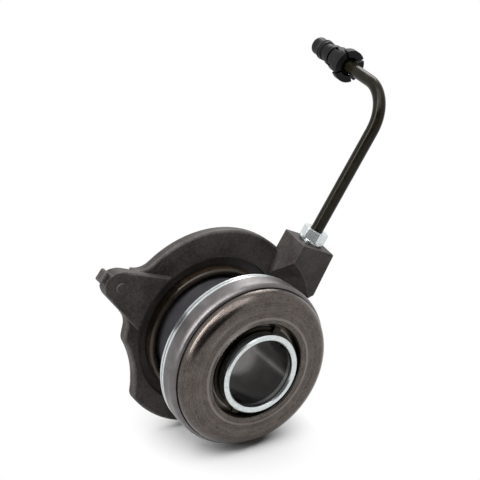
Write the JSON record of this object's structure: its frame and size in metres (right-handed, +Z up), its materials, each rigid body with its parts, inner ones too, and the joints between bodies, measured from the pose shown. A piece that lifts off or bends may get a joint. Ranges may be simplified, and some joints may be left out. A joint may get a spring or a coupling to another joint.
{
  "type": "concentric slave cylinder",
  "caption": "Ring-shaped hydraulic clutch cylinder with a sliding piston, ball release bearing, rubber boot and bent feed pipe with a plug-in end.",
  "frame": {"origin": "middle of the rear mounting face, on the cylinder's axis", "axes": "the bearing faces -Y, the locating spigot points along +Y, +Z is up as in the picture, the inlet is up and towards +X"},
  "size_m": [0.1539, 0.0935, 0.1667],
  "materials": {
    "cast_housing": "matte dark die casting",
    "dark_steel": "dark polished",
    "zinc_plate": "bright zinc plating",
    "oiled_steel": "oiled",
    "piston_alloy": "hard anodised",
    "ball_steel": "polished",
    "cage_brass": "satin",
    "thrust_steel": "dark phosphated, satin",
    "shell_steel": "satin",
    "boot_rubber": "smooth",
    "seal_rubber": "smooth",
    "pipe_steel": "olive-black gloss",
    "black_plastic": "matte moulded",
    "pale_plastic": "matte moulded"
  },
  "bodies": {
    "housing_body": {"housing": "cast_housing", "guide_sleeve": "dark_steel", "nose_ring": "zinc_plate", "sleeve_seal": "seal_rubber", "stop_clip": "oiled_steel", "preload_spring": "oiled_steel", "dust_boot": "boot_rubber", "tube_nut": "zinc_plate", "hydraulic_pipe": "pipe_steel", "plug": "black_plastic", "plug_seal": "seal_rubber", "locking_collar": "black_plastic"},
    "carriage": {"piston": "piston_alloy", "piston_seal": "seal_rubber", "spring_seat": "pale_plastic", "race_clip": "oiled_steel", "inner_race": "oiled_steel", "bearing_shell": "shell_steel", "backing_ring": "zinc_plate"},
    "turning_ring": {"thrust_ring": "thrust_steel"},
    "ball_set": {"bearing_balls": "ball_steel", "ball_cage": "cage_brass"}
  },
  "joints": [
    {"name": "piston_slide", "type": "slide", "parent": "housing_body", "child": "carriage", "axis": [0, 1, 0], "range_m": [0, 0.014], "stiffness_N_per_m": 1500, "springref_m": -0.015, "deforming": ["preload_spring", "dust_boot"]},
    {"name": "ring_spin", "type": "hinge", "parent": "carriage", "child": "turning_ring", "pos_m": [0, -0.038, 0], "axis": [0, -1, 0], "continuous": true},
    {"name": "cage_spin", "type": "hinge", "parent": "carriage", "child": "ball_set", "pos_m": [0, -0.038, 0], "axis": [0, -1, 0], "continuous": true}
  ],
  "couplings": [
    {"joint": "cage_spin", "follows": "ring_spin", "ratio": 0.543}
  ]
}
